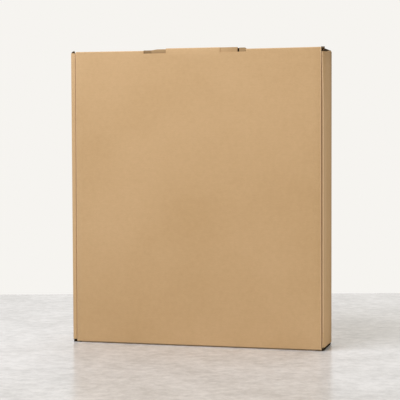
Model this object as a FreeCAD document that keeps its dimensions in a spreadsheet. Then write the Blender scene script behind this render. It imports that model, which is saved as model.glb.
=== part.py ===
import FreeCAD, Part
import os
import Sketcher

# Folded corrugated pizza box, closed and standing on its hinge edge.
# X runs along the width, Y from the lid to the base panel, Z from the hinge edge to the tuck edge.

Vec = FreeCAD.Vector
doc = FreeCAD.newDocument("pizza_box")

# Driving dimensions in millimetres
sheet = doc.addObject("Spreadsheet::Sheet", "dims")
sizes = [
    ("box_width", 310),
    ("box_depth", 58),
    ("tray_length", 350.5),
    ("board", 1.5),
    ("fold_radius", 1.4),
    ("lid_overhang", 2),
    ("layer_gap", 0.1),
    ("hinge_gap", 0.3),
    ("seam_gap", 0.8),
    ("front_bow", 3),
    ("crown_rise", 2.1),
    ("tuck_clearance", 1.2),
    ("straight_run", 6),
    ("shoulder_drop", 8),
    ("corner_drop", 1.5),
    ("lug_outer", 53),
    ("lug_gap", 0.5),
    ("lug_recess", 0.8),
    ("lug_run", 4),
    ("lip_height", 3.9),
    ("slot_inner", 35),
    ("slot_outer", 62.8),
    ("slot_height", 5),
    ("crown_run", 3),
    ("crown_overlap", 2),
    ("wall_lift_base", 1.2),
    ("wall_lift_lid", 2.8),
    ("wall_short_base", 0.7),
    ("wall_short_lid", 2.8),
    ("dust_length", 62),
    ("dust_start", 9),
    ("dust_taper", 14),
    ("lock_length", 45),
    ("lock_low", 92),
    ("lock_high", 258),
    ("lock_clearance", 0.3),
    ("tuck_depth", 45),
    ("tuck_taper", 22),
    ("tuck_inset", 2),
    ("ear_depth", 30),
    ("ear_low", 16),
    ("ear_short", 20),
    ("ear_taper", 16),
]
for row, (name, value) in enumerate(sizes, start=1):
    sheet.set("A%d" % row, str(value))
    sheet.setAlias("A%d" % row, name)
doc.recompute()

# Levels that several panels share
HALF = "dims.box_width / 2"
LID = "-dims.box_depth / 2"
BASE = "dims.box_depth / 2"
TOP = "dims.tray_length"
T = "dims.board"
GAP = "dims.layer_gap"
LID_TOP = "(dims.tray_length + dims.lid_overhang)"
CROWN = "(dims.tray_length + dims.lid_overhang + dims.crown_rise)"
BOW = "dims.front_bow"
WALL_END = "(dims.box_width / 2 - dims.board - dims.layer_gap)"
LID_SIDE = "(dims.box_width / 2 - 3 * dims.board - dims.seam_gap)"
TUCK_BEND = "(dims.tray_length - dims.board - dims.tuck_clearance)"
LUG_INNER = "(dims.slot_inner + dims.lug_gap)"
LEAF_OUT = "(dims.box_width / 2 - 2 * dims.board)"
LEAF_IN = "(dims.box_width / 2 - 3 * dims.board)"
TUCK_RISE = "((dims.tuck_depth ^ 2 - dims.shoulder_drop ^ 2) / (2 * dims.tray_length) + 0.2)"
WALL_TOP = "(dims.tray_length - dims.wall_short_base)"
WALL_LENGTH = "dims.tray_length - dims.wall_short_base - dims.wall_lift_base"
LUG_ROOT = "(dims.tray_length + 0.72 * dims.front_bow)"
SHOULDER = "(-dims.box_depth / 2 + dims.shoulder_drop)"
BEND_SLOPE = TUCK_RISE + " / (dims.tuck_depth - dims.shoulder_drop + 1)"
BEND_ON = TUCK_BEND + " - " + BEND_SLOPE + " * (dims.crown_run + 1)"

# How far a cutting outline stands clear of what it cuts, in millimetres
CLEAR = "1"
FAR = "5"


def number(text):
    return float(sheet.evalExpression(text))


def make_body(name):
    body = doc.addObject("PartDesign::Body", name)
    body.Label = name
    return body


def origin_plane(body, role):
    return [item for item in body.Origin.OriginFeatures if item.Role == role][0]


def put_on_plane(body, name, role, offset):
    sketch = body.newObject("Sketcher::SketchObject", name)
    sketch.AttachmentSupport = [(origin_plane(body, role), "")]
    sketch.MapMode = "FlatFace"
    if offset is not None:
        sketch.setExpression("AttachmentOffset.Base.z", offset)
    return sketch


def pin_point(sketch, edge, end, corner):
    across, along = corner
    if across == "0":
        sketch.addConstraint(Sketcher.Constraint("PointOnObject", edge, end, -2))
    else:
        spot = sketch.addConstraint(Sketcher.Constraint("DistanceX", -1, 1, edge, end, number(across)))
        sketch.setExpression("Constraints[%d]" % spot, across)
    if along == "0":
        sketch.addConstraint(Sketcher.Constraint("PointOnObject", edge, end, -1))
    else:
        spot = sketch.addConstraint(Sketcher.Constraint("DistanceY", -1, 1, edge, end, number(along)))
        sketch.setExpression("Constraints[%d]" % spot, along)


def outline(body, name, role, offset, corners):
    sketch = put_on_plane(body, name, role, offset)
    spots = [Vec(number(a), number(b), 0) for a, b in corners]
    count = len(spots)
    for index in range(count):
        sketch.addGeometry(Part.LineSegment(spots[index], spots[(index + 1) % count]), False)
    for index in range(count):
        sketch.addConstraint(Sketcher.Constraint("Coincident", index, 2, (index + 1) % count, 1))
    for index, corner in enumerate(corners):
        pin_point(sketch, index, 1, corner)
    doc.recompute()
    return sketch


def pad(body, name, sketch, length):
    feature = body.newObject("PartDesign::Pad", name)
    feature.Profile = sketch
    feature.Length = number(length)
    feature.setExpression("Length", length)
    doc.recompute()
    return feature


def pocket(body, name, sketch, length):
    before = body.Shape.Volume
    feature = body.newObject("PartDesign::Pocket", name)
    feature.Profile = sketch
    feature.Length = number(length)
    feature.setExpression("Length", length)
    feature.Reversed = True
    doc.recompute()
    if body.Shape.Volume > before - 0.01:
        raise RuntimeError("nothing cut by " + name)
    return feature


def round_folds(body, name, feature, spots, radius, axis):
    # A spot is the pair of coordinates across the axis that the fold runs along.
    edges = []
    for index, edge in enumerate(feature.Shape.Edges, start=1):
        start = edge.Vertexes[0].Point
        end = edge.Vertexes[-1].Point
        run = [abs(end.x - start.x), abs(end.y - start.y), abs(end.z - start.z)]
        if run[axis] < 5 or sum(run) - run[axis] > 1e-6:
            continue
        place = [start.x, start.y, start.z]
        del place[axis]
        for spot in spots:
            if abs(place[0] - number(spot[0])) < 1e-4 and abs(place[1] - number(spot[1])) < 1e-4:
                edges.append("Edge%d" % index)
    fillet = body.newObject("PartDesign::Fillet", name)
    fillet.Base = (feature, edges)
    fillet.Radius = number(radius)
    fillet.setExpression("Radius", radius)
    doc.recompute()
    return fillet


def bow_arc(reach, crown, foot, spread):
    # From the crown in the middle to the foot at the wall's end
    middle_x = reach / 2
    middle_z = crown - spread + (spread ** 2 - middle_x ** 2) ** 0.5
    return Part.Arc(Vec(0, crown, 0), Vec(middle_x, middle_z, 0), Vec(reach, foot, 0))


def arc_end(sketch, edge, spot):
    first = sketch.getPoint(edge, 1)
    return 1 if first.distanceToPoint(spot) < 0.01 else 2


def mirror_body(body):
    mirrored = body.newObject("PartDesign::Mirrored", body.Name + "_mirrored")
    mirrored.TransformMode = "Whole shape"
    mirrored.MirrorPlane = (origin_plane(body, "YZ_Plane"), [""])
    body.Tip = mirrored
    doc.recompute()
    return body


# Base panel with the rear wall and the start of the front wall, right half
base_half = make_body("base_half")
base_outline = outline(base_half, "base_outline", "YZ_Plane", None, [
    (BASE, "0"),
    (BASE, TOP),
    (BASE + " - dims.straight_run", TOP),
    (BASE + " - dims.straight_run", TOP + " - " + T),
    (BASE + " - " + T, TOP + " - " + T),
    (BASE + " - " + T, T),
    (LID + " + " + T + " + dims.hinge_gap", T),
    (LID + " + " + T + " + dims.hinge_gap", "0"),
])
base_pad = pad(base_half, "base_pad", base_outline, WALL_END)
base_round = round_folds(base_half, "base_round", base_pad, [
    (BASE, "0"),
    (BASE, TOP),
], "dims.fold_radius", 0)

# The strip of the base panel that carries the side wall's crease
crease_outline = outline(base_half, "crease_outline", "XY_Plane", "dims.wall_lift_base", [
    (WALL_END + " - " + T, BASE + " - " + T),
    (HALF + " - " + T, BASE + " - " + T),
    (HALF + " - " + T, BASE),
    (WALL_END + " - " + T, BASE),
])
crease_pad = pad(base_half, "crease_pad", crease_outline, WALL_LENGTH)

# Slots of the base panel that take the side wall's locking tabs
for side in ("low", "high"):
    slot_start = "dims.lock_" + side + " - dims.lock_length / 2"
    slot_outline = outline(base_half, "slot_outline_" + side, "XY_Plane", slot_start, [
        (LEAF_IN + " - dims.lock_clearance", BASE + " - " + T + " - " + CLEAR),
        (LEAF_OUT + " + dims.lock_clearance", BASE + " - " + T + " - " + CLEAR),
        (LEAF_OUT + " + dims.lock_clearance", BASE + " + " + CLEAR),
        (LEAF_IN + " - dims.lock_clearance", BASE + " + " + CLEAR),
    ])
    pocket(base_half, "slot_cut_" + side, slot_outline, "dims.lock_length")

# Front wall, straight at its crease and bowed out at its free edge, right half
front_half = make_body("front_half")
root = outline(front_half, "front_root", "XZ_Plane", "-(" + BASE + " - dims.straight_run / 2)", [
    ("0", TOP),
    (WALL_END, TOP),
    (WALL_END, TOP + " - " + T),
    ("0", TOP + " - " + T),
])
rim = put_on_plane(front_half, "front_rim", "XZ_Plane", "-(" + LID + " + dims.corner_drop)")
radius = "(" + WALL_END + " ^ 2 + " + BOW + " ^ 2) / (2 * " + BOW + ")"
reach = number(WALL_END)
crown = number(TOP) + number(BOW)
foot = number(TOP)
thick = number(T)
rim.addGeometry(bow_arc(reach, crown, foot, number(radius)), False)
rim.addGeometry(Part.LineSegment(Vec(reach, foot, 0), Vec(reach, foot - thick, 0)), False)
rim.addGeometry(bow_arc(reach, crown - thick, foot - thick, number(radius)), False)
rim.addGeometry(Part.LineSegment(Vec(0, crown - thick, 0), Vec(0, crown, 0)), False)
outer_top = arc_end(rim, 0, Vec(0, crown, 0))
inner_top = arc_end(rim, 2, Vec(0, crown - thick, 0))
rim.addConstraint(Sketcher.Constraint("Coincident", 0, 3 - outer_top, 1, 1))
rim.addConstraint(Sketcher.Constraint("Coincident", 1, 2, 2, 3 - inner_top))
rim.addConstraint(Sketcher.Constraint("Coincident", 2, inner_top, 3, 1))
rim.addConstraint(Sketcher.Constraint("Coincident", 3, 2, 0, outer_top))
pin_point(rim, 0, outer_top, ("0", TOP + " + " + BOW))
pin_point(rim, 1, 1, (WALL_END, TOP))
pin_point(rim, 1, 2, (WALL_END, TOP + " - " + T))
pin_point(rim, 3, 1, ("0", TOP + " + " + BOW + " - " + T))
for edge in (0, 2):
    size = rim.addConstraint(Sketcher.Constraint("Radius", edge, number(radius)))
    rim.setExpression("Constraints[%d]" % size, radius)
doc.recompute()
front_loft = front_half.newObject("PartDesign::AdditiveLoft", "front_loft")
front_loft.Profile = root
front_loft.Sections = [rim]
front_loft.Ruled = True
doc.recompute()
shoulder = outline(front_half, "shoulder", "XY_Plane", TOP + " - 3 * " + T, [
    ("-" + CLEAR, LID + " - " + CLEAR),
    (LID_SIDE + " + dims.lug_gap", LID + " - " + CLEAR),
    (LID_SIDE + " + dims.lug_gap", SHOULDER),
    ("-" + CLEAR, SHOULDER),
])
shoulder_cut = pocket(front_half, "shoulder_cut", shoulder, BOW + " + 6 * " + T)

# Lug of the front wall, with its lip bent over into the lid's slot
lug_outline = outline(front_half, "lug_outline", "YZ_Plane", LUG_INNER, [
    (SHOULDER + " + dims.lug_run", LUG_ROOT),
    (LID + " + dims.lug_recess", CROWN),
    (LID + " + dims.lug_recess", LID_TOP + " - dims.lip_height"),
    (LID + " + dims.lug_recess + " + T, LID_TOP + " - dims.lip_height"),
    (LID + " + dims.lug_recess + " + T, CROWN + " - 1.2 * " + T),
    (SHOULDER + " + dims.lug_run", LUG_ROOT + " - " + T),
])
lug_pad = pad(front_half, "lug_pad", lug_outline, "dims.lug_outer - " + LUG_INNER)

# Rolled-over side wall: outer leaf, narrow top strip and inner leaf
side_half = make_body("side_half")
side_outline = outline(side_half, "side_outline", "XY_Plane", "dims.wall_lift_base", [
    (HALF + " - " + T, BASE),
    (HALF, BASE),
    (HALF, LID),
    (LEAF_IN, LID),
    (LEAF_IN, BASE + " - " + T + " - " + GAP),
    (LEAF_OUT, BASE + " - " + T + " - " + GAP),
    (LEAF_OUT, LID + " + " + T),
    (HALF + " - " + T, LID + " + " + T),
])
side_pad = pad(side_half, "side_pad", side_outline, WALL_LENGTH)
side_round = round_folds(side_half, "side_round", side_pad, [
    (HALF, BASE),
    (HALF, LID),
    (LEAF_IN, LID),
], "dims.fold_radius", 2)
for name, near, far in (
    ("taper_low", "dims.wall_lift_base", "dims.wall_lift_lid"),
    ("taper_high", WALL_TOP, TOP + " - dims.wall_short_lid"),
):
    beyond = "-" + FAR if name == "taper_low" else TOP + " + " + FAR
    taper = outline(side_half, name, "YZ_Plane", HALF + " - 4 * " + T, [
        (BASE + " + 0.5", near),
        (LID + " - 0.5", far),
        (LID + " - 0.5", beyond),
        (BASE + " + 0.5", beyond),
    ])
    pocket(side_half, name + "_cut", taper, "6 * " + T)
for name, start, length in (
    ("inner_low", "-" + CLEAR, T + " + " + CLEAR + " + 0.5"),
    ("inner_high", TOP + " - " + T + " - 0.5", T + " + " + CLEAR + " + 0.5"),
):
    room = outline(side_half, name, "XY_Plane", start, [
        (HALF + " - 4 * " + T, LID + " - 1"),
        (HALF + " - " + T, LID + " - 1"),
        (HALF + " - " + T, BASE + " - " + T),
        (HALF + " - 4 * " + T, BASE + " - " + T),
    ])
    pocket(side_half, name + "_cut", room, length)
for side in ("low", "high"):
    lock_start = "dims.lock_" + side + " - dims.lock_length / 2 + 2 * dims.lock_clearance"
    lock = outline(side_half, "lock_outline_" + side, "XY_Plane", lock_start, [
        (LEAF_IN, BASE + " - 2 * " + T),
        (LEAF_OUT, BASE + " - 2 * " + T),
        (LEAF_OUT, BASE),
        (LEAF_IN, BASE),
    ])
    pad(side_half, "lock_pad_" + side, lock, "dims.lock_length - 4 * dims.lock_clearance")

# Dust flaps on the ends of the front and the rear wall, between the side wall's two leaves
dust_half = make_body("dust_half")
for name, root_level, tip_level in (
    ("dust_front", TOP + " - 0.3 * " + T, TOP + " - dims.dust_length"),
    ("dust_rear", "0.3 * " + T, "dims.dust_length"),
):
    sign = " + " if name == "dust_front" else " - "
    flap = outline(dust_half, name, "YZ_Plane", LEAF_OUT + " + " + GAP, [
        (BASE + " - " + T + " - 1", root_level),
        (LID + " + dims.dust_start", root_level),
        (LID + " + dims.dust_start", tip_level + sign + "dims.dust_taper"),
        (LID + " + dims.dust_start + dims.dust_taper", tip_level),
        (BASE + " - " + T + " - 1 - dims.dust_taper / 2", tip_level),
        (BASE + " - " + T + " - 1", tip_level + sign + "dims.dust_taper / 2"),
    ])
    pad(dust_half, name + "_pad", flap, T + " - 2 * " + GAP)

# Lid panel with its double crease and the tuck flap, right half
lid_half = make_body("lid_half")
lid_outline = outline(lid_half, "lid_outline", "YZ_Plane", None, [
    (LID, "0"),
    (LID, LID_TOP),
    (LID + " + 0.8 * " + T, LID_TOP),
    (SHOULDER + " - 1", TUCK_BEND),
    (LID + " + dims.tuck_depth", TUCK_BEND + " - " + TUCK_RISE),
    (LID + " + dims.tuck_depth", TUCK_BEND + " - " + TUCK_RISE + " - " + T),
    (SHOULDER + " - 1.4", TUCK_BEND + " - 1.06 * " + T),
    (LID + " + " + T, LID_TOP + " - 1.35 * " + T),
    (LID + " + " + T, "0"),
])
lid_pad = pad(lid_half, "lid_pad", lid_outline, LID_SIDE)
lid_round = round_folds(lid_half, "lid_round", lid_pad, [
    (LID, "0"),
    (LID + " + " + T, "0"),
], T + " * 0.495", 0)
crease_round = round_folds(lid_half, "crease_round", lid_round, [
    (LID, LID_TOP),
], T + " * 0.6", 0)
tuck_side = outline(lid_half, "tuck_side", "XY_Plane", TOP + " - dims.tuck_depth", [
    (LID_SIDE + " - dims.tuck_inset", LID + " + " + T + " * 1.2"),
    (LID_SIDE + " - dims.tuck_inset", LID + " + dims.shoulder_drop"),
    (LID_SIDE + " - dims.tuck_taper", LID + " + dims.tuck_depth + 1"),
    (HALF + " + 1", LID + " + dims.tuck_depth + 1"),
    (HALF + " + 1", LID + " + " + T + " * 1.2"),
])
tuck_cut = pocket(lid_half, "tuck_cut", tuck_side, "dims.tuck_depth + 10")

# Side flap of the lid, inside the rolled-over side wall
ear_outline = outline(lid_half, "ear_outline", "YZ_Plane", LID_SIDE + " - " + T, [
    (LID + " + " + T + " * 0.5", "dims.ear_low"),
    (LID + " + " + T + " * 0.5", LID_TOP + " - dims.ear_short"),
    (LID + " + " + T + " + 2", LID_TOP + " - dims.ear_short"),
    (LID + " + dims.ear_depth", LID_TOP + " - dims.ear_short - dims.ear_taper"),
    (LID + " + dims.ear_depth", "dims.ear_low + dims.ear_taper"),
    (LID + " + " + T + " + 2", "dims.ear_low"),
])
ear_pad = pad(lid_half, "ear_pad", ear_outline, T)
side_fold = outline(lid_half, "side_fold", "XY_Plane", "-1", [
    (LID_SIDE + " + 1", LID + " - 1"),
    (LID_SIDE + " - 0.6 * " + T, LID + " - 1"),
    (LID_SIDE + " - 0.6 * " + T, LID),
    (LID_SIDE + " - 0.18 * " + T, LID + " + 0.18 * " + T),
    (LID_SIDE, LID + " + 0.6 * " + T),
    (LID_SIDE + " + 1", LID + " + 0.6 * " + T),
])
side_fold_cut = pocket(lid_half, "side_fold_cut", side_fold, LID_TOP + " + 5")

# Slot in the crease of the lid, and the raised crease between the two slots
lid_slot = outline(lid_half, "lid_slot", "YZ_Plane", "-1", [
    (LID + " - 1", LID_TOP + " - dims.slot_height"),
    (SHOULDER + " + " + CLEAR, LID_TOP + " - dims.slot_height - " + T),
    (SHOULDER + " + " + CLEAR, LID_TOP + " + 5"),
    (LID + " - 1", LID_TOP + " + 5"),
])
lid_slot_cut = pocket(lid_half, "lid_slot_cut", lid_slot, "dims.slot_outer + 1")
crown_outline = outline(lid_half, "crown_outline", "YZ_Plane", None, [
    (LID, LID_TOP + " - dims.slot_height - dims.crown_overlap"),
    (LID, CROWN + " - 0.5 * " + T),
    (LID + " + 0.2 * " + T, CROWN + " - 0.15 * " + T),
    (LID + " + 0.55 * " + T, CROWN),
    (LID + " + 0.95 * " + T, CROWN + " - 0.1 * " + T),
    (SHOULDER + " - 1", TUCK_BEND),
    (SHOULDER + " + dims.crown_run", BEND_ON),
    (SHOULDER + " + dims.crown_run", BEND_ON + " - " + T),
    (SHOULDER + " - 1.9", TUCK_BEND + " - 1.06 * " + T),
    (LID + " + " + T, CROWN + " - 1.7 * " + T),
    (LID + " + " + T, LID_TOP + " - dims.slot_height - dims.crown_overlap"),
])
crown_pad = pad(lid_half, "crown_pad", crown_outline, "dims.slot_inner")

# The tray is cut and folded from one sheet, the lid is the sheet's other end.
tray_right = doc.addObject("Part::MultiFuse", "tray_right")
tray_right.Shapes = [base_half, front_half, side_half, dust_half]
tray_right.Refine = True
doc.recompute()
tray_left = doc.addObject("Part::Mirroring", "tray_left")
tray_left.Source = tray_right
tray_left.Base = Vec(0, 0, 0)
tray_left.Normal = Vec(1, 0, 0)
tray = doc.addObject("Part::MultiFuse", "tray")
tray.Shapes = [tray_right, tray_left]
tray.Refine = True
tray.Label = "tray"
tray.Placement = FreeCAD.Placement(Vec(0, 0, 0), FreeCAD.Rotation())
lid = mirror_body(lid_half)
lid.Label = "lid"
lid.Placement = FreeCAD.Placement(Vec(0, 0, 0), FreeCAD.Rotation())
doc.recompute()

# Every object is sound before anything is written
for item in doc.Objects:
    if "Invalid" in item.State or "Error" in item.State:
        raise RuntimeError("bad state: " + item.Name)
for node in (tray, lid):
    shape = node.Shape
    if shape.isNull() or not shape.isValid() or len(shape.Solids) != 1:
        raise RuntimeError("bad shape: " + node.Label)

os.makedirs("parts", exist_ok=True)
for node in (tray, lid):
    node.Shape.exportStep("parts/" + node.Label + ".step")
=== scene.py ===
import bpy
import bmesh
import math
from mathutils import Matrix, Vector


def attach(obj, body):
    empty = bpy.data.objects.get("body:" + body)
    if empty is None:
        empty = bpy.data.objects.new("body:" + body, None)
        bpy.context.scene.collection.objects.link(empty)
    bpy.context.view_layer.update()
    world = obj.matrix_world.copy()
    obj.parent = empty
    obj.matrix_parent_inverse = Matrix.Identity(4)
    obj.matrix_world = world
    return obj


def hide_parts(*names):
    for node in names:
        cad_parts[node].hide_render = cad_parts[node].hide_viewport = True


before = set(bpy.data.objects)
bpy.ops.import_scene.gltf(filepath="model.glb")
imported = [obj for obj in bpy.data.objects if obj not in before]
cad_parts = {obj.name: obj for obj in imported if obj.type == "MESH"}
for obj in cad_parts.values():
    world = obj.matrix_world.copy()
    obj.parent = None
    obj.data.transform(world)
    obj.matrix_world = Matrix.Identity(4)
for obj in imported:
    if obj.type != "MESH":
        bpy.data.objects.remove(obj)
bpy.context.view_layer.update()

# The board, in metres: GROOVE is how deep a cut edge's core sinks, RIBBON half the flutes' paper
BOARD = 0.0015
LINER = 0.00026
FLUTE_PITCH = 0.0034
GROOVE = 0.0009
RIBBON = 0.00008

# The size of the meshes' faces
GRID = 0.0105

# The folded box: X across it, Y away from the lid, Z up from the hinge edge
WIDTH = 0.310
DEPTH = 0.058
LENGTH = 0.3525
SIDE_FACE = WIDTH / 2
LID_FACE = -DEPTH / 2
BACK_FACE = DEPTH / 2
STRIP_EDGE = SIDE_FACE - 3 * BOARD

# Levels in Z between which the side walls run clear of the four corners
LOW_CORNER = 0.0036
HIGH_CORNER = 0.3461

# Bands and limits that pick out the tray's edges: those across it are distances from its middle
STRIP_FOLD = (0.1503, 0.1521)
STRIP_START = 0.1503
STRIP_FRONT = -0.0266
INNER_WALL = 0.15345
INNER_WALL_FRONT = -0.0203
RIGHT_BEND = 0.1536
CORNER_BAND = (0.1499, 0.1536)
CORNER_FRONT = -0.0255
FRONT_WALL_END = 0.3488
LUG_EDGE = (0.0353, 0.0357)
LUG_REACH = 0.0533
LUG_CORNER = 0.0525
LUG_START = 0.03

# Bands that pick out the lid's slots
SLOT_BAND = (0.03, 0.064)
SLOT_LEVEL = 0.3459
PANEL_BACK = -0.0274


def inside(value, band):
    return band[0] < value < band[1]


def smooth(value, low, high):
    part = min(max((value - low) / (high - low), 0), 1)
    return part * part * (3 - 2 * part)


def lerp(first, second, part):
    return first + (second - first) * part


def bulge(level):
    """0 at the bottom and the top of the box, 1 half-way up."""
    return math.sin(math.pi * min(max(level / LENGTH, 0), 1))


def faces_front(normal, least=0.6):
    return normal.y < -least


# Materials

class Graph:
    """The nodes of one material, with a Principled shader at their end."""

    # The part of its range that Blender's noise mostly fills
    NOISE = (0.3, 0.7)
    # The Mix node's colour sockets have no names of their own.
    FIRST_COLOR = 6
    SECOND_COLOR = 7
    MIXED_COLOR = 2

    def __init__(self, name):
        self.material = bpy.data.materials.new(name)
        self.material.use_nodes = True
        self.nodes = self.material.node_tree.nodes
        self.links = self.material.node_tree.links
        self.nodes.clear()
        output = self.nodes.new("ShaderNodeOutputMaterial")
        self.shader = self.nodes.new("ShaderNodeBsdfPrincipled")
        self.links.new(self.shader.outputs["BSDF"], output.inputs["Surface"])

    def feed(self, socket, value):
        """Sets a socket to a number or a colour, or links another node's output to it."""
        if isinstance(value, bpy.types.NodeSocket):
            self.links.new(value, socket)
        elif isinstance(value, tuple):
            socket.default_value = value + (1,)
        else:
            socket.default_value = value

    def place(self):
        return self.nodes.new("ShaderNodeTexCoord").outputs["Object"]

    def attribute(self, name):
        node = self.nodes.new("ShaderNodeAttribute")
        node.attribute_name = name
        return node.outputs["Fac"]

    def noise(self, place, scale, detail, roughness=0.5):
        node = self.nodes.new("ShaderNodeTexNoise")
        node.inputs["Scale"].default_value = scale
        node.inputs["Detail"].default_value = detail
        node.inputs["Roughness"].default_value = roughness
        self.feed(node.inputs["Vector"], place)
        return node.outputs["Fac"]

    def remap(self, value, source, target):
        node = self.nodes.new("ShaderNodeMapRange")
        self.feed(node.inputs["Value"], value)
        node.inputs["From Min"].default_value, node.inputs["From Max"].default_value = source
        node.inputs["To Min"].default_value, node.inputs["To Max"].default_value = target
        return node.outputs["Result"]

    def math(self, operation, first, second=0):
        node = self.nodes.new("ShaderNodeMath")
        node.operation = operation
        self.feed(node.inputs[0], first)
        self.feed(node.inputs[1], second)
        return node.outputs["Value"]

    def mix(self, factor, first, second, blend="MIX"):
        node = self.nodes.new("ShaderNodeMix")
        node.data_type = "RGBA"
        node.blend_type = blend
        self.feed(node.inputs["Factor"], factor)
        self.feed(node.inputs[self.FIRST_COLOR], first)
        self.feed(node.inputs[self.SECOND_COLOR], second)
        return node.outputs[self.MIXED_COLOR]

    def part(self, value, share):
        return self.math("MULTIPLY", value, share)


def darker(color, share):
    return tuple(part * share for part in color)


def kraft(name, light, dark, pale, raw):
    """Kraft board: light and dark pulp, pale where it is folded, raw where it is cut, with painted
    highlights along the rolled strips and painted shade in its hollows.
    """
    graph = Graph(name)
    place = graph.place()
    # Pulp clouds, mottling and single fibres, from coarse to fine
    clouds = graph.noise(place, scale=9, detail=3)
    mottle = graph.noise(place, scale=170, detail=4, roughness=0.62)
    stretch = graph.nodes.new("ShaderNodeMapping")
    stretch.inputs["Scale"].default_value = (350, 1500, 1500)
    graph.feed(stretch.inputs["Vector"], place)
    fibre = graph.noise(stretch.outputs["Vector"], scale=1, detail=3, roughness=0.6)
    tone = graph.math(
        "ADD",
        graph.remap(clouds, Graph.NOISE, (0.25, 0.75)),
        graph.remap(mottle, Graph.NOISE, (-0.15, 0.15)),
    )
    tone = graph.math("ADD", tone, graph.remap(fibre, Graph.NOISE, (-0.15, 0.15)))
    base = graph.mix(tone, dark, light)
    # Dark specks of pulp
    specks = graph.nodes.new("ShaderNodeTexVoronoi")
    specks.inputs["Scale"].default_value = 420
    graph.feed(specks.inputs["Vector"], place)
    speck = graph.remap(specks.outputs["Distance"], (0.06, 0.12), (0.35, 0))
    base = graph.mix(speck, base, darker(dark, 0.55))
    # Washboard of the flutes that shows through the liner
    wave = graph.math("SINE", graph.part(graph.attribute("flute"), math.tau / FLUTE_PITCH))
    rows = graph.remap(wave, (-1, 1), (0, 1))
    base = graph.mix(graph.part(rows, 0.05), base, dark)
    # Folds, where the stretched liner is paler, and a painted highlight along the rolled strips and the
    # right wall's front bend
    base = graph.mix(graph.part(graph.attribute("fold"), 0.55), base, pale)
    # Cut edges, where the brown core shows
    base = graph.mix(graph.attribute("cut"), base, raw)
    # Painted shade, darkening towards near-black: the hollows between the folded layers, the corners, the
    # lugs in the slots, the hinge's underside, and the right side wall towards its back and top
    shade = graph.attribute("shade")
    base = graph.mix(shade, base, darker(raw, 0.07))
    shader = graph.shader
    graph.feed(shader.inputs["Base Color"], base)
    graph.feed(shader.inputs["Roughness"], graph.remap(mottle, Graph.NOISE, (0.72, 0.88)))
    # The sheen fades in the painted shade, so that it stays dark
    sheen = graph.part(graph.math("SUBTRACT", 1.0, shade), 0.28)
    graph.feed(shader.inputs["Specular IOR Level"], sheen)
    # Relief of the fibres, the mottling and the flutes
    height = graph.math("ADD", graph.part(fibre, 0.5), graph.part(mottle, 0.7))
    height = graph.math("ADD", height, graph.part(rows, 0.35))
    bump = graph.nodes.new("ShaderNodeBump")
    bump.inputs["Strength"].default_value = 0.35
    bump.inputs["Distance"].default_value = 0.00012
    graph.feed(bump.inputs["Height"], height)
    graph.feed(shader.inputs["Normal"], bump.outputs["Normal"])
    return graph.material


board_material = kraft(
    "kraft_board",
    light=(0.64, 0.425, 0.224),
    dark=(0.535, 0.34, 0.16),
    # pale: the stretched liner on folds, and the painted highlight on the rolled strips
    pale=(0.76, 0.54, 0.33),
    raw=(0.43, 0.275, 0.14),
)


# Board pieces, refined from the solids

def face_width(area, perimeter):
    """The width of a long thin face."""
    return 2 * area / perimeter


def box_of(verts):
    lowest = [min(vert.co[axis] for vert in verts) for axis in range(3)]
    highest = [max(vert.co[axis] for vert in verts) for axis in range(3)]
    return lowest, highest


def clean_solid(node):
    """A node's mesh with its flat faces whole again, and its cut edges marked."""
    same_point = 2e-6
    flat_angle = math.radians(0.6)
    bm = bmesh.new()
    bm.from_mesh(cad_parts[node].data)
    bmesh.ops.remove_doubles(bm, verts=bm.verts, dist=same_point)
    bmesh.ops.dissolve_limit(bm, angle_limit=flat_angle, verts=bm.verts, edges=bm.edges)
    mark_cut_edges(bm)
    return bm


def is_cut_edge(face):
    """A cut edge is a face about as wide as the board is thick, and longer than that."""
    board_wide = (0.72 * BOARD, 1.12 * BOARD)
    board_long = 1.6 * BOARD
    lengths = [edge.calc_length() for edge in face.edges]
    width = face_width(face.calc_area(), sum(lengths))
    return inside(width, board_wide) and max(lengths) > board_long


def in_slot(face):
    """The lugs fill the lid's slots, so no raw edge shows there."""
    centre = face.calc_center_median()
    slots_end = SLOT_BAND[1]
    slots_low = 0.3455
    slots_back = -0.02
    return abs(centre.x) < slots_end and centre.z > slots_low and centre.y < slots_back


def mark_cut_edges(bm):
    """Outlines the core between the two liners wherever the board is cut."""
    layer = bm.verts.layers.float.new("cut")
    ends = bm.faces.layers.int.new("cut_end")
    bm.normal_update()
    cuts = [face for face in bm.faces if is_cut_edge(face) and not in_slot(face)]
    for face in cuts:
        lowest, highest = box_of(face.verts)
        bmesh.ops.inset_individual(bm, faces=[face], thickness=LINER, use_even_offset=True)
        # A sharp corner would throw its inner point far out of the face.
        for vert in face.verts:
            vert.co = [min(max(vert.co[axis], lowest[axis]), highest[axis]) for axis in range(3)]
    for face in bm.faces:
        face[ends] = 0
    for face in cuts:
        face[ends] = 1
        for vert in face.verts:
            vert[layer] = 1


def open_cut_edges(bm):
    """Sinks the core, so that the liners' rims stand out."""
    layer = bm.verts.layers.float["cut"]
    ends = bm.faces.layers.int["cut_end"]
    bm.normal_update()
    pushes = {}
    for face in bm.faces:
        if face[ends]:
            for vert in face.verts:
                pushes.setdefault(vert, []).append(face.normal.copy())
    for vert, normals in pushes.items():
        total = Vector((0, 0, 0))
        for normal in normals:
            total += normal
        vert.co -= total.normalized() * GROOVE * vert[layer]
    bm.faces.layers.int.remove(ends)
    return bm


def slice_at(bm, axis, places):
    on_plane = 1e-7
    for place in places:
        point = [0, 0, 0]
        point[axis] = place
        normal = [0, 0, 0]
        normal[axis] = 1
        everything = bm.verts[:] + bm.edges[:] + bm.faces[:]
        bmesh.ops.bisect_plane(bm, geom=everything, plane_co=point, plane_no=normal, dist=on_plane)
    return bm


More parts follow.
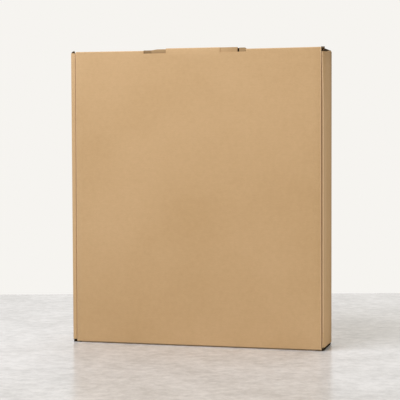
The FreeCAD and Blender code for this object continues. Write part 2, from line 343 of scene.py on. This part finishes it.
def divide(bm, step):
    """Cuts the piece into a grid across and up, so that its faces are even."""
    lowest, highest = box_of(bm.verts)
    for axis in (0, 2):
        span = highest[axis] - lowest[axis]
        count = int(span / step)
        slice_at(bm, axis, [lowest[axis] + span * index / count for index in range(1, count)])
    return bm


def fold_paleness_and_highlight(normal, spot, width):
    """How pale a face is: 1 on a narrow fold, where the liner is stretched; painted highlight along the
    rolled strips, strong on the right and faint on the left, and along the right wall's front bend.
    """
    right_strip_highlight = 1.5
    left_strip_highlight = 0.2
    right_bend_highlight = 0.5
    bend_depth = (-0.028, -0.01)
    widest_fold = 0.0009
    strip_back = -0.026
    # Painted highlight on the fronts of the rolled strips
    if faces_front(normal) and abs(spot.x) > STRIP_START and spot.y < strip_back:
        return right_strip_highlight if spot.x > 0 else left_strip_highlight
    # Painted highlight on the right wall's front bend, brightest half-way up
    if spot.x > RIGHT_BEND and inside(spot.y, bend_depth):
        return right_bend_highlight * bulge(spot.z)
    along_axis = max(abs(part) for part in normal) > 0.99
    return 1.0 if width <= widest_fold and not along_axis else 0.0


def fold_faces(mesh):
    values = []
    for polygon in mesh.polygons:
        spots = [mesh.vertices[index].co for index in polygon.vertices]
        sides = [(spots[index] - spots[index - 1]).length for index in range(len(spots))]
        width = face_width(polygon.area, sum(sides))
        values.append(fold_paleness_and_highlight(polygon.normal, polygon.center, width))
    layer = mesh.attributes.new("fold", "FLOAT", "FACE")
    layer.data.foreach_set("value", values)


def flute_coordinates(mesh):
    """The coordinate that runs across the flutes, for the washboard in the material."""
    values = []
    for polygon in mesh.polygons:
        level = abs(polygon.normal.z) > 0.7
        axis = 1 if level else 2
        for index in polygon.vertices:
            values.append(mesh.vertices[index].co[axis])
    layer = mesh.attributes.new("flute", "FLOAT", "CORNER")
    layer.data.foreach_set("value", values)


def shade_faces(mesh, rule):
    values = []
    for polygon in mesh.polygons:
        for index in polygon.vertices:
            values.append(rule(polygon.normal, polygon.center, mesh.vertices[index].co))
    layer = mesh.attributes.new("shade", "FLOAT", "CORNER")
    layer.data.foreach_set("value", values)


def place_piece(name, mesh, body):
    mesh.materials.append(board_material)
    piece = bpy.data.objects.new(name, mesh)
    bpy.context.scene.collection.objects.link(piece)
    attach(piece, body)
    return piece


def add_piece(name, bm, body, rule):
    sharp_angle = math.radians(38)
    mesh = bpy.data.meshes.new(name)
    bm.to_mesh(mesh)
    bm.free()
    mesh.polygons.foreach_set("use_smooth", [True] * len(mesh.polygons))
    mesh.set_sharp_from_angle(angle=sharp_angle)
    flute_coordinates(mesh)
    fold_faces(mesh)
    shade_faces(mesh, rule)
    return place_piece(name, mesh, body)


# The tray as folded by hand: each function moves one vertex, picked by where the solid has it

def roll(x, y, middle, depth):
    """Brings a point outside a soft fold in to it: a quarter of an ellipse out to the box's faces."""
    wide = SIDE_FACE - middle
    deep = BACK_FACE - depth
    across = (x - middle) / wide
    along = (y - depth) / deep
    if across < 0 or along < 0:
        return x, y
    size = math.hypot(across, along)
    if size <= 1:
        return x, y
    return middle + wide * across / size, depth + deep * along / size


def right_bow(height):
    """The right fold bows outwards between its ends: 0 straight, 1 bowed."""
    low_end = (0.03, 0.09)
    high_end = (0.8, 0.98)
    return smooth(height, *low_end) * (1 - smooth(height, *high_end))


def shift_strip_edge(vert, x, y, height):
    """The inner edges of the rolled strips, which aren't quite straight."""
    if not inside(abs(x), STRIP_FOLD) or y >= STRIP_FRONT:
        return
    if x < 0:
        left_low = 0.0003
        left_high = 0.0011
        vert.co.x += lerp(left_low, left_high, height)
        return
    right_low = 0.0021
    right_high = 0.0012
    right_bowed = 0.0028
    straight_squeeze = 0.3
    bowed_squeeze = 0.08
    bow = right_bow(height)
    edge = STRIP_EDGE + lerp(lerp(right_low, right_high, height), right_bowed, bow)
    vert.co.x = edge + (x - STRIP_EDGE) * lerp(straight_squeeze, bowed_squeeze, bow)


def soften_right_wall(vert, x, y, height):
    """The soft folds of the right side wall, at the lid and at the base."""
    strip_corner = 0.1526
    strip_face = -0.0289
    on_strip = x > strip_corner and y < strip_face
    if x <= RIGHT_BEND and not on_strip:
        return
    straight_middle = 0.1528
    bowed_middle = 0.1541
    lid_depth = 0.011
    base_depth = 0.0185
    middle = lerp(straight_middle, bowed_middle, right_bow(height))
    vert.co.x, flipped = roll(x, -y, middle, lid_depth)
    vert.co.x, vert.co.y = roll(vert.co.x, -flipped, RIGHT_BEND, base_depth)


def shift_side_wall_ends(vert, x, y, z):
    """The side walls' ends slope towards the back, and the left one sits high at the lid."""
    side = abs(x)
    back = (y - LID_FACE) / DEPTH
    if side <= STRIP_START or (side < INNER_WALL and y > INNER_WALL_FRONT):
        return
    reach = 0.0004
    drawn_top = lerp(0.3477, 0.3498, back)
    right_top_rise = 0.0005
    left_top_rise = 0.0036
    if abs(z - drawn_top) < reach:
        vert.co.z += right_top_rise * back if x > 0 else left_top_rise * (1 - back)
    drawn_low = lerp(0.0028, 0.0012, back)
    right_low_rise = 0.0017
    left_low_rise = 0.0004
    if abs(z - drawn_low) < reach:
        vert.co.z += right_low_rise if x > 0 else left_low_rise


def raise_front_wall_ends(vert, x, y, z):
    """The ends of the front wall stand up beside the lid."""
    side = abs(x)
    if not inside(side, CORNER_BAND) or z <= FRONT_WALL_END:
        return
    front_layer = (-0.0268, CORNER_FRONT)
    near = 1 - smooth(y, *front_layer)
    if x > 0:
        outer_half = 0.1530
        back_rise = 0.0012
        front_rise = 0.0027
        inner_push = 0.0009
        outer_push = 0.0018
        vert.co.z += lerp(back_rise, front_rise, near)
        if near > 0.5:
            vert.co.x += outer_push if side > outer_half else inner_push
    else:
        inner_half = 0.152
        inner_rise = 0.0036
        outer_rise = 0.0021
        push = 0.001
        vert.co.z += near * (inner_rise if side < inner_half else outer_rise)
        vert.co.x -= push * near


def shift_rear_wall_ends(vert, x, y, z):
    """The ends of the rear wall stand out a little under the side walls."""
    rear_end = (0.1520, 0.1536)
    rear_top = 0.0021
    push = 0.0009
    if inside(abs(x), rear_end) and z < rear_top and y < CORNER_FRONT:
        vert.co.x += math.copysign(push, x)


def shift_lugs(vert, x, y, z):
    """The lugs and their lips, which fill the lid's slots unevenly."""
    side = abs(x)
    lip_level = (0.3484, 0.3488)
    lip_back = -0.0264
    lip_rim = -0.0275
    rim_level = 0.34906
    back_level = 0.34893
    if side < LUG_REACH and y < lip_back and inside(z, lip_level):
        vert.co.z = rim_level if y < lip_rim else back_level
    lug_root = -0.016
    right_start = 0.03103
    left_start = -0.03503
    if inside(side, LUG_EDGE) and y < lug_root:
        vert.co.x = right_start if x > 0 else left_start
    # The right lug is a little narrow.
    right_corner = (LUG_CORNER, LUG_REACH)
    right_low = 0.3481
    right_back = -0.0205
    missing_width = 0.0009
    if inside(x, right_corner) and z > right_low and y < right_back:
        vert.co.x -= missing_width
    # The left lug sits lower, its outer corner most of all.
    left_lug = (-LUG_REACH, -LUG_START)
    left_top = 0.3529
    left_back = -0.02
    lug_drop = 0.0007
    corner_drop = 0.0017
    if inside(x, left_lug) and z > left_top and y < left_back:
        vert.co.z -= corner_drop if x < -LUG_CORNER else lug_drop


def settle_tray(bm):
    """The hand-folded tray: soft folds, and ends that aren't quite where the blank puts them."""
    # Cuts that let the flat walls bend: closer together where a fold is tighter
    front_bend = (-0.0265, -0.025, -0.023, -0.0205, -0.017, -0.0135, 0)
    back_bend = (0.006, 0.012, 0.017, 0.0205, 0.023, 0.025, 0.0265)
    bow_levels = (LOW_CORNER, 0.032, 0.05, 0.11, 0.17, 0.23, 0.29, HIGH_CORNER)
    left_lug_cut = -0.046
    slice_at(bm, 1, front_bend + back_bend)
    slice_at(bm, 2, bow_levels)
    slice_at(bm, 0, (left_lug_cut,))
    for vert in bm.verts:
        x, y, z = vert.co
        height = z / LENGTH
        shift_strip_edge(vert, x, y, height)
        soften_right_wall(vert, x, y, height)
        shift_side_wall_ends(vert, x, y, z)
        raise_front_wall_ends(vert, x, y, z)
        shift_rear_wall_ends(vert, x, y, z)
        shift_lugs(vert, x, y, z)
    return bm


# The lid as folded by hand

def shift_slots(vert, x, y, z):
    """The two slots in the crease, and the crease between them."""
    side = abs(x)
    on_panel = y < PANEL_BACK
    slot_floor = (0.347, 0.3475)
    floor_rise = 0.0018
    if on_panel and inside(z, slot_floor) and inside(side, SLOT_BAND):
        vert.co.z += floor_rise
    right_inner_end = (0.0348, 0.0352)
    right_slot_start = 0.031
    if inside(x, right_inner_end) and z > SLOT_LEVEL:
        vert.co.x = right_slot_start
    right_outer_end = (0.0626, 0.063)
    missing_width = 0.0007
    if inside(x, right_outer_end) and z > SLOT_LEVEL and on_panel:
        vert.co.x -= missing_width
    middle_end = 0.0353
    middle_low = 0.3515
    middle_rise = 0.00025
    if side < middle_end and z > middle_low:
        vert.co.z += middle_rise


def shift_lid_edges(vert, x, y, height):
    """The panel's two edges and the side flaps behind them, which aren't quite square."""
    edge_start = 0.147
    panel_inside = (-0.0278, -0.0270)
    panel = 1 - smooth(y, *panel_inside)
    if x > edge_start:
        right_flap = 0.0005
        right_low = 0.0021
        right_high = 0.0017
        vert.co.x += lerp(right_flap, lerp(right_low, right_high, height), panel)
    if x < -edge_start:
        left_flap = 0.0004
        left_low = -0.0002
        left_high = 0.0006
        vert.co.x += lerp(left_flap, lerp(left_low, left_high, height), panel)


def raise_crease(vert, side, z):
    """The crease rises a little, most of all just beside the slots."""
    crease_low = 0.3475
    crease_rise = 0.00035
    swell = 0.0004
    swell_place = 0.078
    swell_width = 0.03
    if z > crease_low and side > SLOT_BAND[1]:
        vert.co.z += crease_rise + swell * math.exp(-((side - swell_place) / swell_width) ** 2)


def crush_hinge(vert, side, y, z):
    """The crushed crease at the bottom leaves a dark gap over the floor."""
    crushed_top = 0.0035
    crushed_end = 0.152
    crushed_rise = 0.0015
    liner_back = -0.0272
    liner_depth = 0.0018
    if z < crushed_top and y < PANEL_BACK and side < crushed_end:
        front = min(1, (liner_back - y) / liner_depth)
        vert.co.z += crushed_rise * (1 - z / crushed_top) * front


def settle_lid(bm):
    """The hand-folded lid: not quite square, its crease not quite straight."""
    for vert in bm.verts:
        x, y, z = vert.co
        side = abs(x)
        shift_lid_edges(vert, x, y, z / LENGTH)
        raise_crease(vert, side, z)
        shift_slots(vert, x, y, z)
        crush_hinge(vert, side, y, z)
    return bm


# Small forms that show behind the slots and in the corners

def prism(bm, profile, start, end):
    """A short straight piece of board: a profile in Y and Z, drawn out along X."""
    near = [bm.verts.new((start, y, z)) for y, z in profile]
    far = [bm.verts.new((end, y, z)) for y, z in profile]
    count = len(profile)
    bm.faces.new(near)
    bm.faces.new(list(reversed(far)))
    for index in range(count):
        bm.faces.new((near[index], far[index], far[(index + 1) % count], near[(index + 1) % count]))


def shoulder(bm, start, end, top, front):
    """The front wall's free edge: it slopes to the front and bends down there."""
    back = -0.0172
    foot = 0.3489
    slope = 0.0012
    back_top = top - slope
    bend_top = top - 1.2 * BOARD
    prism(bm, [
        (back, back_top), (front, top), (front, foot),
        (front + BOARD, foot), (front + BOARD, bend_top), (back, back_top - BOARD),
    ], start, end)


def add_small_forms(bm):
    """The shoulders, the flaps' feet and the inner wall's end, which the solids leave out; the feet, the
    inner wall's end and the piece in the right lug's gap are painted near-black as shade.
    """
    # The front wall's free edge between each lug and the end of the lid's slot, in painted shade; the
    # narrow middle piece backs the gap beside the right lug, painted near-black
    shoulder(bm, start=0.0544, end=0.0615, top=0.3539, front=-0.0286)
    shoulder(bm, start=0.0520, end=0.0546, top=0.3536, front=-0.0262)
    shoulder(bm, start=-0.0627, end=-0.0530, top=0.3529, front=-0.0280)
    # The feet of the rear wall's dust flaps, deep in the lower corners, painted near-black as the shade
    # there
    foot_front = -0.0268
    foot_back = foot_front + BOARD
    foot_low = 0.0003
    foot_high = 0.0047
    foot = [(foot_front, foot_low), (foot_front, foot_high), (foot_back, foot_high), (foot_back, foot_low)]
    prism(bm, foot, start=0.1497, end=0.1541)
    prism(bm, foot, start=-0.1546, end=-0.1493)
    # The inner wall's lower end, seen in the gap under the right side wall, painted near-black as the
    # shade in that gap
    wall_front = -0.0266
    wall_back = 0.0262
    wall_low = 0.0002
    front_top = 0.004
    back_top = 0.0028
    wall = [(wall_front, wall_low), (wall_front, front_top), (wall_back, back_top), (wall_back, wall_low)]
    prism(bm, wall, start=0.1522, end=0.1534)
    bmesh.ops.recalc_face_normals(bm, faces=bm.faces)
    return bm


# Painted shade: each rule gives 0 in the open and up to 1 where no light reaches

CORNER_SHADE = 0.94
FOOT_SHADE = 0.96
WALL_END_SHADE = 0.86
WALL_TOP_SHADE = 0.66
HINGE_SHADE = 0.45


def right_wall_shade(spot):
    """Painted shade: the right side wall darker towards the back and the top."""
    end_back = 0.28
    middle_back = 0.14
    upper_part = 0.07
    top_end = 0.12
    back_half = (0, 0.0275)
    upper_levels = (0.22, 0.32)
    top_levels = (0.336, 0.348)
    back = lerp(end_back, middle_back, bulge(spot.z)) * smooth(spot.y, *back_half)
    upper = upper_part * smooth(spot.z, *upper_levels)
    return back + upper + top_end * smooth(spot.z, *top_levels)


def left_lug_shade(side, level):
    """Painted shade on the left lug and the shoulder beside it, both darker towards the slot's floor."""
    lug_end = 0.053
    on_lug = 0.18
    on_shoulder = 0.4
    floor_shade = 0.26
    floor_levels = (0.3492, 0.3515)
    shade = on_shoulder if side > lug_end else on_lug
    return shade + floor_shade * (1 - smooth(level, *floor_levels))


def right_lug_shade(side, place):
    """Painted shade on the right lug, near-black in the gap beside it, and on the shoulder past the gap.
    """
    lug_start = 0.031
    lug_end = 0.0521
    lug_width = 0.022
    gap_end = 0.0544
    lug_start_shade = 0.04
    lug_end_shade = 0.2
    in_gap = 0.98
    on_shoulder = 0.34
    if side < lug_end:
        return lerp(lug_start_shade, lug_end_shade, (place - lug_start) / lug_width)
    return in_gap if side < gap_end else on_shoulder


def in_dark_corner(normal, side, level):
    """The sides of the layers that lie open past the side walls' ends, painted dark as shade."""
    inner_layers = 0.1535
    front_wall_face = 0.3505
    faces_side = abs(normal.x) > 0.8
    past_ends = level > HIGH_CORNER or level < LOW_CORNER
    return faces_side and past_ends and (side < inner_layers or level > front_wall_face)


def tray_shade(normal, centre, spot):
    """Painted shade on the tray's right side wall, its four corners, and its lugs in the lid's slots."""
    side = abs(centre.x)
    right_wall = centre.x > 0.1538 and normal.x > 0.3
    wall_levels = (LOW_CORNER, FRONT_WALL_END)
    if right_wall and inside(centre.z, wall_levels):
        return right_wall_shade(spot)
    corner_reach = (0.1499, 0.1556)
    in_corner = inside(side, corner_reach)
    if in_corner and in_dark_corner(normal, side, centre.z):
        return CORNER_SHADE
    foot_reach = (0.149, 0.1547)
    foot_top = 0.0048
    foot_back = -0.0252
    if inside(side, foot_reach) and centre.z < foot_top and centre.y < foot_back:
        return FOOT_SHADE
    in_front = centre.y < CORNER_FRONT
    # Painted shade on the raised ends of the front wall
    if in_corner and in_front and centre.z > FRONT_WALL_END:
        return WALL_END_SHADE if faces_front(normal) else WALL_TOP_SHADE
    slots_reach = (LUG_START, 0.0632)
    slots_low = 0.3485
    in_slots = inside(side, slots_reach) and centre.z > slots_low
    if in_slots and in_front and faces_front(normal, least=0.8):
        return right_lug_shade(side, spot.x) if centre.x > 0 else left_lug_shade(side, spot.z)
    return 0.0


def lid_shade(normal, centre, spot):
    """Painted shade on the underside of the hinge crease, and nowhere else on the lid."""
    crease_top = 0.004
    faces_down = normal.z < -0.3
    return HINGE_SHADE if faces_down and centre.z < crease_top else 0.0


# The flutes in the cut edges

def flute_ribbons(name, runs, body):
    """The fluted layer, seen between the liners in the cut edges that cross the flutes."""
    mesh = bpy.data.meshes.new(name)
    verts = []
    faces = []
    swing = BOARD / 2 - LINER - RIBBON
    rim = 0.00006
    steps_a_wave = 10
    corners = ((RIBBON, rim), (-RIBBON, rim), (RIBBON, GROOVE), (-RIBBON, GROOVE))
    across = Vector((1, 0, 0))
    for start, end, inward in runs:
        start = Vector(start)
        end = Vector(end)
        inward = Vector(inward)
        length = (end - start).length
        steps = max(int(length / FLUTE_PITCH * steps_a_wave), 2)
        first = len(verts)
        for index in range(steps + 1):
            point = start.lerp(end, index / steps)
            offset = swing * math.sin(length * index / steps / FLUTE_PITCH * math.tau)
            for lean, depth in corners:
                verts.append(point + across * (offset + lean) + inward * depth)
        for index in range(steps):
            a = first + index * len(corners)
            b = a + len(corners)
            faces += [(a, a + 1, b + 1, b), (a, b, b + 2, a + 2), (a + 1, a + 3, b + 3, b + 1)]
    mesh.from_pydata(verts, [], faces)
    core_brown = 0.7
    mesh.attributes.new("cut", "FLOAT", "POINT").data.foreach_set("value", [core_brown] * len(verts))
    return place_piece(name, mesh, body)


def ear_runs(side):
    """The long free edge of the lid's side flap."""
    flap_face = 0.1497
    flap_shift = 0.0005
    middle = side * (flap_face - BOARD / 2) + flap_shift
    edge = 0.001
    low = 0.0322
    high = 0.3163
    return [((middle, edge, low), (middle, edge, high), (0, -1, 0))]


def dust_runs(side):
    """The free ends of the dust flaps, the lower pair's and the upper pair's."""
    middle = side * (SIDE_FACE - 1.5 * BOARD)
    front = -0.0055
    back = 0.019
    ends = ((0.062, -1), (0.2885, 1))
    return [((middle, front, level), (middle, back, level), (0, 0, inward)) for level, inward in ends]


def tab_runs(side):
    """The locking tabs' ends, in their slots through the base."""
    middle = side * (SIDE_FACE - 2.5 * BOARD)
    half = 0.0215
    levels = (0.092, 0.258)
    return [
        ((middle, BACK_FACE, level - half), (middle, BACK_FACE, level + half), (0, -1, 0))
        for level in levels
    ]


tray_mesh = open_cut_edges(add_small_forms(settle_tray(clean_solid("tray"))))
tray = add_piece("tray_board", divide(tray_mesh, GRID), "tray", tray_shade)
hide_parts("tray")
lid_mesh = open_cut_edges(settle_lid(clean_solid("lid")))
lid = add_piece("lid_board", divide(lid_mesh, GRID), "lid", lid_shade)
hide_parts("lid")

lid_runs = ear_runs(-1) + ear_runs(1)
tray_runs = dust_runs(-1) + tab_runs(-1) + dust_runs(1) + tab_runs(1)
flute_ribbons("lid_flutes", lid_runs, "lid")
flute_ribbons("tray_flutes", tray_runs, "tray")


# Camera, at the photograph's angle

YAW = 0.262
PITCH = 0.048
ROLL = -0.004
EYE = Vector((0.410845, -1.537531, 0.24995))
FOCAL_PIXELS = 1318.8
FRAME_PIXELS = 400
SENSOR = 36

forward = Vector((-math.sin(YAW) * math.cos(PITCH), math.cos(YAW) * math.cos(PITCH), -math.sin(PITCH)))
level_right = Vector((math.cos(YAW), math.sin(YAW), 0))
level_up = level_right.cross(forward)
right = math.cos(ROLL) * level_right + math.sin(ROLL) * level_up
up = -math.sin(ROLL) * level_right + math.cos(ROLL) * level_up

camera_data = bpy.data.cameras.new("camera")
camera_data.sensor_width = SENSOR
camera_data.lens = FOCAL_PIXELS / FRAME_PIXELS * SENSOR
camera_data.clip_start = 0.05
camera_data.clip_end = 50
camera = bpy.data.objects.new("camera", camera_data)
camera.matrix_world = Matrix((
    (right.x, up.x, -forward.x, EYE.x),
    (right.y, up.y, -forward.y, EYE.y),
    (right.z, up.z, -forward.z, EYE.z),
    (0, 0, 0, 1),
))
bpy.context.scene.collection.objects.link(camera)
bpy.context.scene.camera = camera


# Floor

def floor_material():
    graph = Graph("pale_floor")
    place = graph.place()
    clouds = graph.noise(place, scale=16, detail=5, roughness=0.65)
    grain = graph.noise(place, scale=80, detail=6, roughness=0.75)
    tone = graph.math(
        "ADD",
        graph.remap(clouds, Graph.NOISE, (-0.05, 0.75)),
        graph.remap(grain, Graph.NOISE, (-0.45, 0.75)),
    )
    dark = (0.617, 0.602, 0.575)
    pale = (0.83, 0.813, 0.786)
    base = graph.mix(tone, dark, pale)
    # Painted shade, darker and warmer, in front of the box, and painted light, a little paler, far behind
    # it
    near_painted_shade = (0.934, 0.924, 0.903)
    far_painted_light = (1.059, 1.064, 1.078)
    parts = graph.nodes.new("ShaderNodeSeparateXYZ")
    graph.feed(parts.inputs["Vector"], place)
    near = graph.remap(parts.outputs["Y"], (-0.33, -0.19), (1, 0))
    base = graph.mix(near, base, near_painted_shade, "MULTIPLY")
    far = graph.remap(parts.outputs["Y"], (0.15, 0.45), (0, 1))
    base = graph.mix(far, base, far_painted_light, "MULTIPLY")
    graph.feed(graph.shader.inputs["Base Color"], base)
    graph.shader.inputs["Roughness"].default_value = 0.2
    graph.shader.inputs["Specular IOR Level"].default_value = 0.1
    return graph.material


def add_floor(half_width, depth, distance):
    """A floor whose far edge is square to the view, that far from the camera."""
    ahead = Vector((forward.x, forward.y, 0)).normalized()
    aside = Vector((ahead.y, -ahead.x, 0)) * half_width
    far_edge = Vector((EYE.x, EYE.y, 0)) + ahead * distance
    near_edge = far_edge - ahead * depth
    corners = [far_edge - aside, far_edge + aside, near_edge + aside, near_edge - aside]
    mesh = bpy.data.meshes.new("floor")
    mesh.from_pydata([tuple(corner) for corner in corners], [], [(0, 1, 2, 3)])
    mesh.materials.append(floor_material())
    floor = bpy.data.objects.new("floor", mesh)
    bpy.context.scene.collection.objects.link(floor)


add_floor(half_width=4, depth=7, distance=2.09)


# Light

def softbox(name, place, target, size, watts, color):
    data = bpy.data.lights.new(name, "AREA")
    data.shape = "RECTANGLE"
    data.size, data.size_y = size
    data.energy = watts
    data.color = color
    lamp = bpy.data.objects.new(name, data)
    lamp.location = place
    lamp.rotation_euler = (Vector(target) - Vector(place)).to_track_quat("-Z", "Y").to_euler()
    bpy.context.scene.collection.objects.link(lamp)


softbox(
    "key", place=(-0.4, -0.62, 1.05), target=(0, 0, 0.3), size=(0.8, 0.6),
    watts=9.1, color=(1, 1.05, 1.18),
)
softbox(
    "back", place=(0.1, 1.3, 1.5), target=(0, 0.5, 0), size=(1.8, 1.2),
    watts=11.6, color=(1, 1, 1.03),
)
softbox(
    "right", place=(1.3, -1.1, 0.4), target=(0.155, 0, 0.12), size=(0.6, 0.5),
    watts=4.5, color=(1, 0.95, 0.86),
)


def background(tree, color, strength):
    node = tree.nodes.new("ShaderNodeBackground")
    node.inputs["Color"].default_value = color + (1,)
    node.inputs["Strength"].default_value = strength
    return node.outputs["Background"]


def highest_of(tree, first, second):
    node = tree.nodes.new("ShaderNodeMath")
    node.operation = "MAXIMUM"
    tree.links.new(first, node.inputs[0])
    tree.links.new(second, node.inputs[1])
    return node.outputs["Value"]


def add_world(seen_color, fill_color, fill_strength):
    """A soft fill, with a pale background where the camera, gloss or glass looks at it."""
    world = bpy.data.worlds.new("studio")
    bpy.context.scene.world = world
    world.use_nodes = True
    tree = world.node_tree
    tree.nodes.clear()
    path = tree.nodes.new("ShaderNodeLightPath").outputs
    clear = highest_of(tree, path["Is Glossy Ray"], path["Is Transmission Ray"])
    direct = highest_of(tree, path["Is Camera Ray"], clear)
    choose = tree.nodes.new("ShaderNodeMixShader")
    tree.links.new(direct, choose.inputs["Fac"])
    tree.links.new(background(tree, fill_color, fill_strength), choose.inputs[1])
    tree.links.new(background(tree, seen_color, 1), choose.inputs[2])
    output = tree.nodes.new("ShaderNodeOutputWorld")
    tree.links.new(choose.outputs["Shader"], output.inputs["Surface"])


add_world(seen_color=(0.922, 0.905, 0.871), fill_color=(1, 0.955, 0.87), fill_strength=0.395)

bpy.context.scene.view_settings.view_transform = "Standard"
